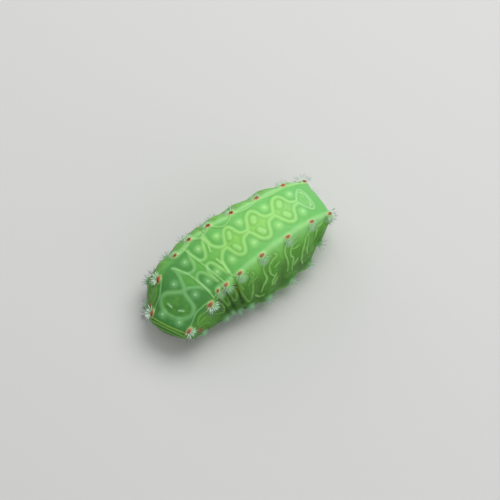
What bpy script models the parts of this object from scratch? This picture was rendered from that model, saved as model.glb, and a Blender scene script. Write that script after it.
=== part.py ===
"""A slug moth's larva at life size, in a resting pose.

The frame is in metres with +Z up. The floor is at z = 0, the head points towards -Y and the
animal's left side is +X. The back is described along a bent midline by stations, one for each
pair of warts on the back, and across it by a number q: 0 on the midline, 1 on the ridge that
carries the warts, 2 on the lobe of the flank, 3 under the lobe and 4 on the belly's midline.
"""

import math
import random

import bmesh
import bpy
import numpy as np
from mathutils import Matrix, Vector

MM = 0.001
GAP = 0.28  # between neighbouring pieces, in millimetres, as every size below

# Name, step back along the midline, heading to the left in degrees, and the half-width and
# height of the ridge. The segments of the front third are drawn together and turned left.
STATIONS = (
    ("front", 0.00, 27, 1.00, 1.80),
    ("T2", 0.64, 27, 1.15, 1.95),
    ("T3", 1.60, 27, 1.62, 2.65),
    ("A1", 1.15, 13, 1.56, 2.95),
    ("A2", 0.80, 2, 1.68, 3.15),
    ("A3", 1.05, -4, 1.66, 3.45),
    ("A4", 1.40, -2, 1.52, 3.75),
    ("A5", 1.65, 1, 1.43, 3.80),
    ("A6", 1.65, 0, 1.33, 3.45),
    ("A7", 1.30, 0, 1.18, 2.60),
    ("A8", 0.38, 0, 0.80, 1.60),
    ("tail", 0.36, 0, 0.60, 1.05),
)
NAMES = [row[0] for row in STATIONS]
MIDDLE = NAMES.index("A4")
FRAME_SHIFT = (-0.024, 0.826)  # puts the origin under the middle of the finished animal

# Sizes across the body, each a few values spread evenly from the front to the tail.
FLARE = (0.30, 0.38, 0.72, 0.82, 0.84, 0.98, 1.22, 1.18, 1.02, 0.52, 0.34, 0.30)
LOBE_HEIGHT = (1.22, 1.15, 1.02, 0.97, 0.95, 0.93, 0.93, 0.93, 0.93, 0.93, 0.85, 0.80)
BELLY_HEIGHT = (1.10, 0.92, 0.80, 0.36, 0.10, 0.08, 0.08, 0.08, 0.08, 0.08, 0.16, 0.40)
# How far the flank's lobes lie behind the ridge. The body overhangs at both of its ends.
LEAN = (0.25, 0.28, 0.32, 0.22, 0.22, 0.10, -0.32, -0.56, -0.80, -0.98, -0.62, -0.36)
CROWN = 0.36
LOBE_NOTCH = 0.20
RIDGE_SWELL = 0.09
FLANK_SWELL = 0.16
FRONT_CLOSE_HEIGHT = 1.30
TAIL_CLOSE_HEIGHT = 0.78
TAIL_CLOSE_FROM = 9.25

COLUMNS = 32
RING_STEP = 0.22

SPINE_THICKNESS = 0.46
SPINE_TIP = 0.06
SPINE_SIDES = 5
ROOT_DEPTH = 0.12
SPINE_SEED = 5
SPINE_STRAY = 9  # degrees by which a spine may lean away from its place in the fan
SPINE_VARIETY = 0.10  # share by which a spine may be longer or shorter

# How far the spines of the wart pairs on the ridge reach, from T2 to A8.
RIDGE_REACH = (0.62, 0.66, 0.36, 0.44, 0.42, 0.40, 0.40, 0.44, 0.54, 0.40)
LOBE_REACH = 0.40
WART_RADIUS = 0.33
LOBE_WART_RADIUS = 0.25

HEAD_RADII = (0.68, 0.52, 0.48)
HEAD_STATION = 1.36
HEAD_HEIGHT = 0.76
SEAM_DEPTH = 0.10
LEG_STATIONS = (1.86, 2.20, 2.60)
LEG_SPREADS = (0.56, 0.62, 0.66)
LEG_RADIUS = 0.20
LEG_TIP_RADIUS = 0.07
FOOT_HEIGHT = 0.06

SUCKER_HALF_WIDTH = 0.74
SUCKER_SHARE = 0.30  # of the step to the next sucker
SUCKER_DEPTH = 0.45

GREEN = (0.22, 0.50, 0.12, 1.0)
HEAD_BROWN = (0.36, 0.25, 0.10, 1.0)
LEG_BROWN = (0.42, 0.40, 0.18, 1.0)


def clear_scene():
    for obj in list(bpy.data.objects):
        bpy.data.objects.remove(obj, do_unlink=True)


def finish_of(name, colour, roughness):
    material = bpy.data.materials.new(name)
    material.use_nodes = True
    shader = material.node_tree.nodes["Principled BSDF"]
    shader.inputs["Base Color"].default_value = colour
    shader.inputs["Roughness"].default_value = roughness
    shader.inputs["Metallic"].default_value = 0.0
    return material


def glide(values, at, mirrored=False):
    """Smooth curve through values at 0, 1, 2 and so on. values may be one row for each place in at."""
    values = np.asarray(values, float)
    at = np.asarray(at, float)
    if values.ndim == 1:
        values = np.broadcast_to(values, at.shape + values.shape)
    before = values[..., 1:2] if mirrored else 2 * values[..., :1] - values[..., 1:2]
    after = values[..., -2:-1] if mirrored else 2 * values[..., -1:] - values[..., -2:-1]
    padded = np.concatenate([before, values, after], axis=-1)
    at = np.clip(at, 0, values.shape[-1] - 1)
    cell = np.minimum(at.astype(int), values.shape[-1] - 2)
    t = at - cell
    a, b, c, d = (np.take_along_axis(padded, (cell + k)[..., None], -1)[..., 0] for k in range(4))
    return b + 0.5 * t * (c - a + t * (2 * a - 5 * b + 4 * c - d + t * (3 * (b - c) + d - a)))


def midline_points():
    """Places of the stations on the floor, walked from the middle one in both directions."""
    points = {MIDDLE: Vector((0.0, 0.0))}
    turns = [math.radians(row[2]) for row in STATIONS]
    for here in list(range(MIDDLE - 1, -1, -1)) + list(range(MIDDLE + 1, len(STATIONS))):
        forward = here < MIDDLE
        last = here + 1 if forward else here - 1
        angle = (turns[here] + turns[last]) / 2
        step = STATIONS[last][1] if forward else -STATIONS[here][1]
        points[here] = points[last] + step * Vector((math.sin(angle), -math.cos(angle)))
    return np.array([points[here] for here in range(len(STATIONS))]) + np.array(FRAME_SHIFT)


MIDLINE = midline_points()
HEADINGS = np.radians([row[2] for row in STATIONS])


def place(station, side, height, back=0.0):
    """World points, in millimetres, from a station number, distances left and back and a height."""
    angle = glide(HEADINGS, station)
    x = glide(MIDLINE[:, 0], station) + side * np.cos(angle) - back * np.sin(angle)
    y = glide(MIDLINE[:, 1], station) + side * np.sin(angle) + back * np.cos(angle)
    return np.stack(np.broadcast_arrays(x, y, height), axis=-1)


def body_surface(station, q):
    """Points of the body's surface. Its section is a curve through nine named places."""
    station, q = np.broadcast_arrays(np.asarray(station, float), np.asarray(q, float))
    swell = 0.5 + 0.5 * np.cos(2 * np.pi * station)
    ringed = np.clip(station - 1.4, 0, 1) * np.clip(9.6 - station, 0, 1)
    width = glide([row[3] for row in STATIONS], station) + RIDGE_SWELL * (1 - swell) * ringed
    top = glide([row[4] for row in STATIONS], station)
    flare = glide(FLARE, station) * (1 - LOBE_NOTCH * (1 - swell) * ringed)
    lobe = glide(LOBE_HEIGHT, station)
    belly = glide(BELLY_HEIGHT, station)
    reach = width + flare
    drop = top - lobe
    bulge = width + 0.56 * flare + FLANK_SWELL * (1 - swell) * ringed
    across = [0 * width, 0.55 * width, width, bulge, reach,
              reach - 0.26, 0.66 * reach, 0.34 * reach, 0 * width]
    heights = [top + CROWN, top + 0.78 * CROWN, top, top - 0.37 * drop, lobe,
               0.42 * lobe + 0.58 * belly, belly, belly, belly]
    side = glide(np.stack(across, axis=-1), 2 * np.abs(q)) * np.sign(q)
    height = glide(np.stack(heights, axis=-1), 2 * np.abs(q), mirrored=True)
    front = np.sqrt(np.clip(1 - (1 - np.minimum(station, 1)) ** 2, 0, 1))
    last = len(STATIONS) - 1
    behind = np.clip((station - TAIL_CLOSE_FROM) / (last - TAIL_CLOSE_FROM), 0, 1)
    closing = np.where(station < 1, front, np.sqrt(1 - behind**2))
    towards = np.where(station < MIDDLE, FRONT_CLOSE_HEIGHT, TAIL_CLOSE_HEIGHT)
    height = towards + (height - towards) * closing
    back = glide(LEAN, station) * np.clip((top - height) / drop, 0, 1.1)
    return place(station, side * closing, height, back)


def outward(station, q):
    """Unit normal of the body's surface at one place."""
    small = 0.02
    along = body_surface(station + small, q) - body_surface(station - small, q)
    across = body_surface(station, q + small) - body_surface(station, q - small)
    return Vector(np.cross(along, across)).normalized() * -1


def ring_stations():
    """Station numbers of the rings: close together on the domed ends and evenly spaced between."""
    front = [1 - math.cos(math.pi / 2 * k / 5) for k in range(1, 6)]
    span = sum(row[1] for row in STATIONS[2:10])
    count = round(span / RING_STEP)
    travelled = np.cumsum([row[1] for row in STATIONS[1:10]]) - STATIONS[1][1]
    middle = np.interp(np.linspace(0, span, count + 1)[1:], travelled, np.arange(1, 10))
    middle = middle[middle < TAIL_CLOSE_FROM]
    room = len(STATIONS) - 1 - TAIL_CLOSE_FROM
    tail = [TAIL_CLOSE_FROM + room * math.sin(math.pi / 2 * k / 7) for k in range(7)]
    return np.concatenate([front, middle, tail])


def face_outwards(bm):
    bmesh.ops.recalc_face_normals(bm, faces=bm.faces)
    if bm.calc_volume(signed=True) < 0:
        bmesh.ops.reverse_faces(bm, faces=bm.faces)


def object_from(bm, name, collection, material):
    mesh = bpy.data.meshes.new(name)
    bm.to_mesh(mesh)
    bm.free()
    mesh.materials.append(material)
    obj = bpy.data.objects.new(name, mesh)
    collection.objects.link(obj)
    return obj


def body_blank():
    """The whole body as one closed mesh, a sphere whose rings and columns are laid on the surface."""
    stations = ring_stations()
    bm = bmesh.new()
    bmesh.ops.create_uvsphere(bm, u_segments=COLUMNS, v_segments=len(stations) + 1, radius=1)
    for vertex in bm.verts:
        x, y, z = vertex.co
        ring = round((0.5 - math.asin(max(-1, min(1, z))) / math.pi) * (len(stations) + 1))
        q = 4 * math.atan2(x, -y) / math.pi
        if ring == 0:
            station = 0.0
        elif ring > len(stations):
            station = len(STATIONS) - 1.0
        else:
            station = stations[ring - 1]
        vertex.co = Vector(body_surface(station, q)) * MM
    face_outwards(bm)
    return bm


def trim(bm, station, keep_front):
    """Cuts the mesh along a station's leaning plane, half a gap back, and closes the cut."""
    top = float(glide([row[4] for row in STATIONS], station))
    lobe = float(glide(LOBE_HEIGHT, station))
    lean = max(float(glide(LEAN, station)), STEEPEST_CUT) if station > UPRIGHT_CUT else 0.0
    centre = Vector(place(station, 0.0, top))
    left = Vector(place(station, 1.0, top)) - centre
    down = Vector(place(station, 0.0, lobe, lean)) - centre
    forward = down.cross(left).normalized()
    side = 1 if keep_front else -1
    point = (centre + forward * side * GAP / 2) * MM
    geometry = bm.verts[:] + bm.edges[:] + bm.faces[:]
    bmesh.ops.bisect_plane(bm, geom=geometry, plane_co=point, plane_no=forward * side,
                           dist=1e-7, clear_inner=True)
    rim = [edge for edge in bm.edges if edge.is_boundary]
    bmesh.ops.edgeloop_fill(bm, edges=rim)
    face_outwards(bm)


def aimed(point, direction):
    """Matrix that carries +Z to a direction at a point given in millimetres."""
    return Matrix.Translation(Vector(point) * MM) @ direction.to_track_quat("Z", "Y").to_matrix().to_4x4()


def spine(name, root, direction, reach, collection, material):
    """One stinging spine, thick at its root and fine at its tip."""
    length = reach + ROOT_DEPTH
    bm = bmesh.new()
    bmesh.ops.create_cone(bm, cap_ends=True, segments=SPINE_SIDES, depth=length * MM,
                          radius1=SPINE_THICKNESS / 2 * MM, radius2=SPINE_TIP / 2 * MM)
    middle = Vector(root) + direction * (length / 2 - ROOT_DEPTH)
    bmesh.ops.transform(bm, matrix=aimed(middle, direction), verts=bm.verts)
    return object_from(bm, name, collection, material)


def wart_dome(name, centre, axis, radius, collection, material):
    bm = bmesh.new()
    bmesh.ops.create_uvsphere(bm, u_segments=8, v_segments=5, radius=radius * MM)
    bmesh.ops.transform(bm, matrix=aimed(centre, axis), verts=bm.verts)
    return object_from(bm, name, collection, material)


def tuft(name, station, q, axis, radius, reach, fans, collection, material):
    """A wart and the spines that stand out of its outer side, no two quite alike."""
    draw = random.Random(SPINE_SEED + round(station * 100) + (q > 0) * 7)
    foot = Vector(body_surface(station, q))
    wart_dome(name, foot, axis, radius, collection, material)
    down = (Vector((0, 0, -1)) + axis * axis.z).normalized()
    along = axis.cross(down)
    for tilt, turns in fans:
        for turn in turns:
            lean = math.radians(tilt + draw.uniform(-SPINE_STRAY, SPINE_STRAY))
            around = math.radians(turn + draw.uniform(-SPINE_STRAY, SPINE_STRAY))
            round_axis = down * math.cos(around) + along * math.sin(around)
            direction = (axis * math.cos(lean) + round_axis * math.sin(lean)).normalized()
            root = foot + direction * radius * 0.35
            length = reach * draw.uniform(1 - SPINE_VARIETY, 1 + SPINE_VARIETY)
            spine(f"{name}_{tilt}_{turn}", root, direction, length, collection, material)


RIDGE_FANS = ((62, (-100, -50, 0, 50, 100)), (22, (-40, 40)))
LOBE_FANS = ((48, (-150, -70, 70)), (8, (0,)))
CROWDED_FANS = ((40, (0, 180)), (4, (0,)))
LAST_FANS = ((50, (-30, 50)), (8, (0,)))
RIDGE_LEAN_OUT = 0.75
LOBE_LIFT = 0.12


def tufts_between(first, last, collection, material):
    """The wart pairs of the ridge and of the flank lobes whose stations lie in one body length."""
    for index, reach in enumerate(RIDGE_REACH):
        station = index + 1.0
        if not first < station < last:
            continue
        for side in (1, -1):
            angle = float(glide(HEADINGS, station))
            out = Vector((math.cos(angle), math.sin(angle), 0)) * side
            axis = (out * RIDGE_LEAN_OUT + outward(station, side * 0.95)).normalized()
            name = f"ridge_{NAMES[index + 1]}_{side}"
            fans = RIDGE_FANS if index + 1 < len(RIDGE_REACH) else LAST_FANS
            radius = WART_RADIUS if index + 1 < len(RIDGE_REACH) else LOBE_WART_RADIUS
            tuft(name, station, side * 1.0, axis, radius, reach, fans, collection, material)
    for station in (1.22, 2, 3, 4, 5, 6, 7, 8, 9):
        if not first < station < last:
            continue
        for side in (1, -1):
            flat = outward(station, side * 1.95)
            axis = Vector((flat.x, flat.y, LOBE_LIFT)).normalized()
            name = f"lobe_{station}_{side}"
            fans = CROWDED_FANS if station < 5 else LOBE_FANS
            tuft(name, station, side * 1.95, axis, LOBE_WART_RADIUS, LOBE_REACH, fans, collection, material)


def keep_largest(obj):
    """Keeps the largest closed surface of a mesh."""
    bm = bmesh.new()
    bm.from_mesh(obj.data)
    left = set(bm.verts)
    pieces = []
    while left:
        piece, front = set(), [left.pop()]
        while front:
            vertex = front.pop()
            piece.add(vertex)
            for edge in vertex.link_edges:
                other = edge.other_vert(vertex)
                if other in left:
                    left.discard(other)
                    front.append(other)
        pieces.append(piece)
    pieces.sort(key=len)
    scrap = [vertex for piece in pieces[:-1] for vertex in piece]
    bmesh.ops.delete(bm, geom=scrap, context="VERTS")
    bm.to_mesh(obj.data)
    bm.free()


def fuse(obj, pieces):
    """Joins a collection of closed meshes to an object and removes them."""
    modifier = obj.modifiers.new("joined", "BOOLEAN")
    modifier.operation = "UNION"
    modifier.operand_type = "COLLECTION"
    modifier.collection = pieces
    modifier.solver = "MANIFOLD"
    apply_modifiers(obj)
    for piece in list(pieces.objects):
        bpy.data.objects.remove(piece, do_unlink=True)
    bpy.data.collections.remove(pieces)
    keep_largest(obj)


def carve(obj, cutter):
    modifier = obj.modifiers.new("hollow", "BOOLEAN")
    modifier.operation = "DIFFERENCE"
    modifier.object = cutter
    apply_modifiers(obj)
    bpy.data.objects.remove(cutter, do_unlink=True)


def apply_modifiers(obj):
    graph = bpy.context.evaluated_depsgraph_get()
    made = bpy.data.meshes.new_from_object(obj.evaluated_get(graph))
    obj.modifiers.clear()
    obj.data = made


def pieces_collection(name):
    made = bpy.data.collections.new(name)
    bpy.context.scene.collection.children.link(made)
    return made


def head_matrix(grow=0.0):
    """Places a unit sphere as the head capsule, grown all round by some millimetres."""
    angle = float(glide(HEADINGS, HEAD_STATION))
    centre = Vector(place(HEAD_STATION, 0.0, HEAD_HEIGHT)) * MM
    sizes = [(radius + grow) * MM for radius in HEAD_RADII]
    return Matrix.Translation(centre) @ Matrix.Rotation(angle, 4, "Z") @ Matrix.Diagonal((*sizes, 1))


def ball(name, matrix, collection, material, columns=16, rings=10):
    bm = bmesh.new()
    bmesh.ops.create_uvsphere(bm, u_segments=columns, v_segments=rings, radius=1)
    bmesh.ops.transform(bm, matrix=matrix, verts=bm.verts)
    return object_from(bm, name, collection, material)


def cone_between(name, foot, tip, radii, collection, material, sides=10):
    """A tapered limb between two points in millimetres."""
    foot, tip = Vector(foot), Vector(tip)
    bm = bmesh.new()
    bmesh.ops.create_cone(bm, cap_ends=True, segments=sides, depth=(tip - foot).length * MM,
                          radius1=radii[0] * MM, radius2=radii[1] * MM)
    bmesh.ops.transform(bm, matrix=aimed((foot + tip) / 2, (tip - foot).normalized()), verts=bm.verts)
    return object_from(bm, name, collection, material)


UPRIGHT_CUT = 2.0  # cuts ahead of this station are upright
STEEPEST_CUT = -0.5  # and no cut leans further than this
LENGTHS = (
    ("thorax_hood", None, 1.62),
    ("thorax_rear", 1.62, 2.5),
    ("abdomen_front", 2.5, 5.5),
    ("abdomen_middle", 5.5, 7.5),
    ("abdomen_rear", 7.5, 9.45),
    ("tail", 9.45, None),
)


def suckers_between(first, last, collection, material):
    """The low oval suckers of the creeping sole, one under each of the first seven rings."""
    for index in range(NAMES.index("A1"), NAMES.index("A8")):
        if not first < index < last:
            continue
        steps = [LEAN[k] - LEAN[k - 1] + STATIONS[k][1] for k in (index, index + 1)]
        angle = float(glide(HEADINGS, index))
        centre = Vector(place(float(index), 0.0, SUCKER_DEPTH / 2, LEAN[index])) * MM
        size = Matrix.Diagonal((SUCKER_HALF_WIDTH * MM, SUCKER_SHARE * min(steps) * MM, 1, 1))
        bm = bmesh.new()
        bmesh.ops.create_cone(bm, cap_ends=True, segments=12, depth=SUCKER_DEPTH * MM,
                              radius1=0.86, radius2=1.0)
        matrix = Matrix.Translation(centre) @ Matrix.Rotation(angle, 4, "Z") @ size
        bmesh.ops.transform(bm, matrix=matrix, verts=bm.verts)
        object_from(bm, f"sucker_{NAMES[index]}", collection, material)


def build_body(animal, skin):
    """The flesh in a few lengths, each with its warts, spines and suckers fused on."""
    blank = body_blank()
    for name, first, last in LENGTHS:
        bm = blank.copy()
        if first is not None:
            trim(bm, first, keep_front=False)
        if last is not None:
            trim(bm, last, keep_front=True)
        length = object_from(bm, name, animal, skin)
        pieces = pieces_collection(f"{name}_pieces")
        span = (first or 0.0, last or float(len(STATIONS)))
        tufts_between(*span, pieces, skin)
        suckers_between(*span, pieces, skin)
        if name in ("thorax_hood", "thorax_rear"):
            carve(length, ball("head_room", head_matrix(GAP), animal, skin))
        fuse(length, pieces)
    blank.free()


def head_capsule(animal, capsule):
    """A rounded capsule of two lobes that meet in a shallow seam on the midline."""
    bm = bmesh.new()
    bmesh.ops.create_uvsphere(bm, u_segments=20, v_segments=12, radius=1)
    for vertex in bm.verts:
        seam = math.exp(-((vertex.co.x / 0.16) ** 2)) * max(0.0, vertex.co.z + 0.2)
        vertex.co *= 1 - SEAM_DEPTH * seam
    bmesh.ops.transform(bm, matrix=head_matrix(), verts=bm.verts)
    return object_from(bm, "head", animal, capsule)


def build_head(animal, capsule):
    """The small head under the hood, with its upper lip, jaws and a feeler on each side."""
    angle = float(glide(HEADINGS, HEAD_STATION))
    forward = Vector((math.sin(angle), -math.cos(angle), 0))
    left = Vector((math.cos(angle), math.sin(angle), 0))
    centre = Vector(place(HEAD_STATION, 0.0, HEAD_HEIGHT))
    head = head_capsule(animal, capsule)
    pieces = pieces_collection("mouthparts")
    lip = centre + forward * 0.34 - Vector((0, 0, 0.24))
    cone_between("lip", lip, lip + forward * 0.14 - Vector((0, 0, 0.10)), (0.20, 0.12), pieces, capsule)
    for side in (1, -1):
        root = centre + forward * 0.22 - Vector((0, 0, 0.32)) + left * side * 0.17
        tip = root + forward * 0.12 - Vector((0, 0, 0.26)) - left * side * 0.09
        cone_between(f"jaw_{side}", root, tip, (0.15, 0.06), pieces, capsule, sides=8)
    fuse(head, pieces)
    for side, word in ((1, "left"), (-1, "right")):
        way = (forward * 0.28 + left * side * 0.40 - Vector((0, 0, 0.75))).normalized()
        surface = centre + forward * 0.22 + left * side * 0.52 - Vector((0, 0, 0.20))
        root = surface + way * GAP
        cone_between(f"antenna_{word}", root, root + way * 0.24, (0.17, 0.06), animal, capsule, sides=8)


def build_legs(animal, horn):
    """Three pairs of small pointed legs under the chest."""
    for pair, (station, spread) in enumerate(zip(LEG_STATIONS, LEG_SPREADS), start=1):
        belly = float(glide(BELLY_HEIGHT, station))
        for side, word in ((1, "left"), (-1, "right")):
            root = Vector(place(station, side * spread, belly - GAP))
            tip = Vector(place(station - 0.05, side * (spread + 0.05), FOOT_HEIGHT))
            cone_between(f"leg_{pair}_{word}", root, tip, (LEG_RADIUS, LEG_TIP_RADIUS), animal, horn)


def main():
    clear_scene()
    animal = pieces_collection("slug_moth_larva")
    skin = finish_of("green skin", GREEN, 0.45)
    capsule = finish_of("head capsule", HEAD_BROWN, 0.3)
    horn = finish_of("leg", LEG_BROWN, 0.35)
    build_body(animal, skin)
    build_head(animal, capsule)
    build_legs(animal, horn)
    bpy.context.view_layer.update()


main()
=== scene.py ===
# %% [markdown]
# # The larva of a slug moth
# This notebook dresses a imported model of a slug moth's larva, about 12 mm long. The packed
# solids say where everything is: six lengths of flesh with coarse spines, a small head, two
# feelers and six legs. Over them comes one skin without seams, needle-thin stinging spines,
# and a head and legs with the detail of real ones. The tables are in millimetres and the
# scene is in metres: the floor is z = 0, the head points towards -Y, its left is +X.

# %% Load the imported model
import math
import random

import bmesh
import bpy
import numpy as np
from mathutils import Matrix, Vector, kdtree, noise


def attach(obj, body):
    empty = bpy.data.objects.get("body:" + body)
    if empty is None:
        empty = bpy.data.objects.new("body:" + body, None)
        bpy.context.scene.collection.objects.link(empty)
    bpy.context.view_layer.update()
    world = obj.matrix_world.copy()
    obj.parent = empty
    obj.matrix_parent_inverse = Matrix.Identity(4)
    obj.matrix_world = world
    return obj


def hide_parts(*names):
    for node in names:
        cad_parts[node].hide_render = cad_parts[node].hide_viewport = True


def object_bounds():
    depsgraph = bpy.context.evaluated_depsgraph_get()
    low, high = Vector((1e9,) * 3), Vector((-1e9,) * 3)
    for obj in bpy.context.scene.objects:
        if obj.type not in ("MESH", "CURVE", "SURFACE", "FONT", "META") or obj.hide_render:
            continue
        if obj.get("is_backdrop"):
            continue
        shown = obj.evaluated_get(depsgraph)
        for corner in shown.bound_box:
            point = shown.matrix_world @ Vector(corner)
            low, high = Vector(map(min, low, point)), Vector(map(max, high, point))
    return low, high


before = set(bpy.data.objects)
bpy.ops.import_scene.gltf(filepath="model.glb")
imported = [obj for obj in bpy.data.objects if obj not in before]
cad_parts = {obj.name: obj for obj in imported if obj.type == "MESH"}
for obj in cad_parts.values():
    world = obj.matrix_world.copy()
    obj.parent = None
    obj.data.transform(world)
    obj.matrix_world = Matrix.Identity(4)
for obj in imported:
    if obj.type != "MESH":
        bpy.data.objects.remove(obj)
cad_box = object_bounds()
print("nodes:", ", ".join(sorted(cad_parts)))

# %% [markdown]
# ## The camera
# A lens far away keeps the proportions flat, as a macro lens does. The view comes from high
# up, over the animal's left shoulder, and leans by a little over two degrees.

# %% Camera
MM = 0.001
FRAME_SHIFT = (-0.024, 0.826)  # where the middle wart pair's midpoint lies, in millimetres
AZIMUTH, ELEVATION, ROLL = (math.radians(angle) for angle in (52.0, 65.6, 2.46))
DISTANCE, AIM_RIGHT, AIM_UP = 160, 0.249, 0.763  # also in millimetres
LENS, SENSOR = 212.8, 36


def add_object(name, data):
    made = bpy.data.objects.new(name, data)
    bpy.context.scene.collection.objects.link(made)
    return made


camera = add_object("camera", bpy.data.cameras.new("camera"))
camera.data.lens, camera.data.sensor_width = LENS, SENSOR
camera.data.clip_start, camera.data.clip_end = 0.01, 5
turn = (Matrix.Rotation(AZIMUTH, 4, "Z") @ Matrix.Rotation(math.pi / 2 - ELEVATION, 4, "X")
        @ Matrix.Rotation(ROLL, 4, "Z"))
spot = turn @ Vector((AIM_RIGHT, AIM_UP, DISTANCE)) + Vector((*FRAME_SHIFT, 0))
camera.matrix_world = Matrix.Translation(spot * MM) @ turn
bpy.context.scene.camera = camera
print("camera", DISTANCE, "mm away")

# %% [markdown]
# ## The shape of the body
# The solids and the skin share one description. Stations count the pairs of warts along a
# bent midline, and q runs across: 0 on the midline of the back, 1 on the ridge, 2 on the
# lobes of the flank, 4 on the midline of the belly. Curves through a few sizes per station
# join them smoothly. The tables repeat those of the solids, so that the skin lies on them.

# %% Named sizes of the body, in millimetres
STATIONS = (  # name, step back, heading to the left in degrees, half-width and height of the ridge
    ("front", 0.00, 27, 1.00, 1.80),
    ("T2", 0.64, 27, 1.15, 1.95),
    ("T3", 1.60, 27, 1.62, 2.65),
    ("A1", 1.15, 13, 1.56, 2.95),
    ("A2", 0.80, 2, 1.68, 3.15),
    ("A3", 1.05, -4, 1.66, 3.45),
    ("A4", 1.40, -2, 1.52, 3.75),
    ("A5", 1.65, 1, 1.43, 3.80),
    ("A6", 1.65, 0, 1.33, 3.45),
    ("A7", 1.30, 0, 1.18, 2.60),
    ("A8", 0.38, 0, 0.80, 1.60),
    ("tail", 0.36, 0, 0.60, 1.05),
)
NAMES = [row[0] for row in STATIONS]
LAST = len(STATIONS) - 1.0
MIDDLE = NAMES.index("A4")
FLARE = (0.30, 0.38, 0.72, 0.82, 0.84, 0.98, 1.22, 1.18, 1.02, 0.52, 0.34, 0.30)
LOBE_HEIGHT = (1.22, 1.15, 1.02, 0.97, 0.95, 0.93, 0.93, 0.93, 0.93, 0.93, 0.85, 0.80)
BELLY_HEIGHT = (1.10, 0.92, 0.80, 0.36, 0.10, 0.08, 0.08, 0.08, 0.08, 0.08, 0.16, 0.40)
LEAN = (0.25, 0.28, 0.32, 0.22, 0.22, 0.10, -0.32, -0.56, -0.80, -0.98, -0.62, -0.36)
CROWN, LOBE_NOTCH, RIDGE_SWELL, FLANK_SWELL = 0.36, 0.20, 0.09, 0.16
FRONT_CLOSE_HEIGHT, TAIL_CLOSE_HEIGHT, TAIL_CLOSE_FROM = 1.30, 0.78, 9.25
RINGS_FROM, RINGS_TO = 1.4, 9.6  # the stations between which the rings swell
print(f"{sum(row[1] for row in STATIONS):.2f} mm along the midline")


# %% The smooth surface through those sizes
def glide(values, at, mirrored=False):
    """Smooth curve through values at 0, 1, 2 and so on. values may be one row per place in at."""
    values = np.asarray(values, float)
    at = np.asarray(at, float)
    if values.ndim == 1:
        values = np.broadcast_to(values, at.shape + values.shape)
    before = values[..., 1:2] if mirrored else 2 * values[..., :1] - values[..., 1:2]
    after = values[..., -2:-1] if mirrored else 2 * values[..., -1:] - values[..., -2:-1]
    padded = np.concatenate([before, values, after], axis=-1)
    at = np.clip(at, 0, values.shape[-1] - 1)
    cell = np.minimum(at.astype(int), values.shape[-1] - 2)
    t = at - cell
    a, b, c, d = (np.take_along_axis(padded, (cell + k)[..., None], -1)[..., 0] for k in range(4))
    return b + 0.5 * t * (c - a + t * (2 * a - 5 * b + 4 * c - d + t * (3 * (b - c) + d - a)))


HEADINGS = np.radians([row[2] for row in STATIONS])
courses = (HEADINGS[1:] + HEADINGS[:-1]) / 2
steps = np.stack([-np.sin(courses), np.cos(courses)]) * [row[1] for row in STATIONS[1:]]
walked = np.concatenate([[[0, 0]], np.cumsum(steps.T, axis=0)])
MIDLINE = walked - walked[MIDDLE] + FRAME_SHIFT


def place(station, side, height, back=0.0):
    """World points, in millimetres, from a station, distances left and back and a height."""
    angle = glide(HEADINGS, station)
    x = glide(MIDLINE[:, 0], station) + side * np.cos(angle) - back * np.sin(angle)
    y = glide(MIDLINE[:, 1], station) + side * np.sin(angle) + back * np.cos(angle)
    return np.stack(np.broadcast_arrays(x, y, height), axis=-1)


def body_surface(station, q):
    """Points of the body's surface. Its section is a curve through nine named places."""
    station, q = np.broadcast_arrays(np.asarray(station, float), np.asarray(q, float))
    swell = 0.5 + 0.5 * np.cos(2 * np.pi * station)
    ringed = np.clip(station - RINGS_FROM, 0, 1) * np.clip(RINGS_TO - station, 0, 1)
    width = glide([row[3] for row in STATIONS], station) + RIDGE_SWELL * (1 - swell) * ringed
    top = glide([row[4] for row in STATIONS], station)
    flare = glide(FLARE, station) * (1 - LOBE_NOTCH * (1 - swell) * ringed)
    lobe = glide(LOBE_HEIGHT, station)
    belly = glide(BELLY_HEIGHT, station)
    reach = width + flare
    drop = top - lobe
    bulge = width + 0.56 * flare + FLANK_SWELL * (1 - swell) * ringed
    across = [0 * width, 0.55 * width, width, bulge, reach,
              reach - 0.26, 0.66 * reach, 0.34 * reach, 0 * width]
    heights = [top + CROWN, top + 0.78 * CROWN, top, top - 0.37 * drop, lobe,
               0.42 * lobe + 0.58 * belly, belly, belly, belly]
    side = glide(np.stack(across, axis=-1), 2 * np.abs(q)) * np.sign(q)
    height = glide(np.stack(heights, axis=-1), 2 * np.abs(q), mirrored=True)
    front = np.sqrt(np.clip(1 - (1 - np.minimum(station, 1)) ** 2, 0, 1))
    behind = np.clip((station - TAIL_CLOSE_FROM) / (LAST - TAIL_CLOSE_FROM), 0, 1)
    closing = np.where(station < 1, front, np.sqrt(1 - behind**2))
    towards_height = np.where(station < MIDDLE, FRONT_CLOSE_HEIGHT, TAIL_CLOSE_HEIGHT)
    height = towards_height + (height - towards_height) * closing
    back = glide(LEAN, station) * np.clip((top - height) / drop, 0, 1.1)
    return place(station, side * closing, height, back)


def outward(station, q):
    """Unit normal of the body's surface at one place."""
    small = 0.02
    along = body_surface(station + small, q) - body_surface(station - small, q)
    across = body_surface(station, q + small) - body_surface(station, q - small)
    return Vector(np.cross(along, across)).normalized() * -1


print("middle of the back at", body_surface(float(MIDDLE), 0.0).round(2), "mm")

# %% [markdown]
# ## The skin
# A real skin has no seams, so it is one closed mesh. It starts as a UV sphere, a shape that
# is already closed at both ends. Its rings become rings round the body and its columns lines
# along it. The rings are spread by the distance along the skin, and more columns go to the
# back, where the pattern is, than to the belly.

# %% A sphere laid on the body
COLUMNS, RINGS = 320, 308
COLUMN_SHARES = (0.0, 0.36, 0.78, 0.91, 1.0)  # of half the columns, up to q = 0, 1, 2, 3 and 4


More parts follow.
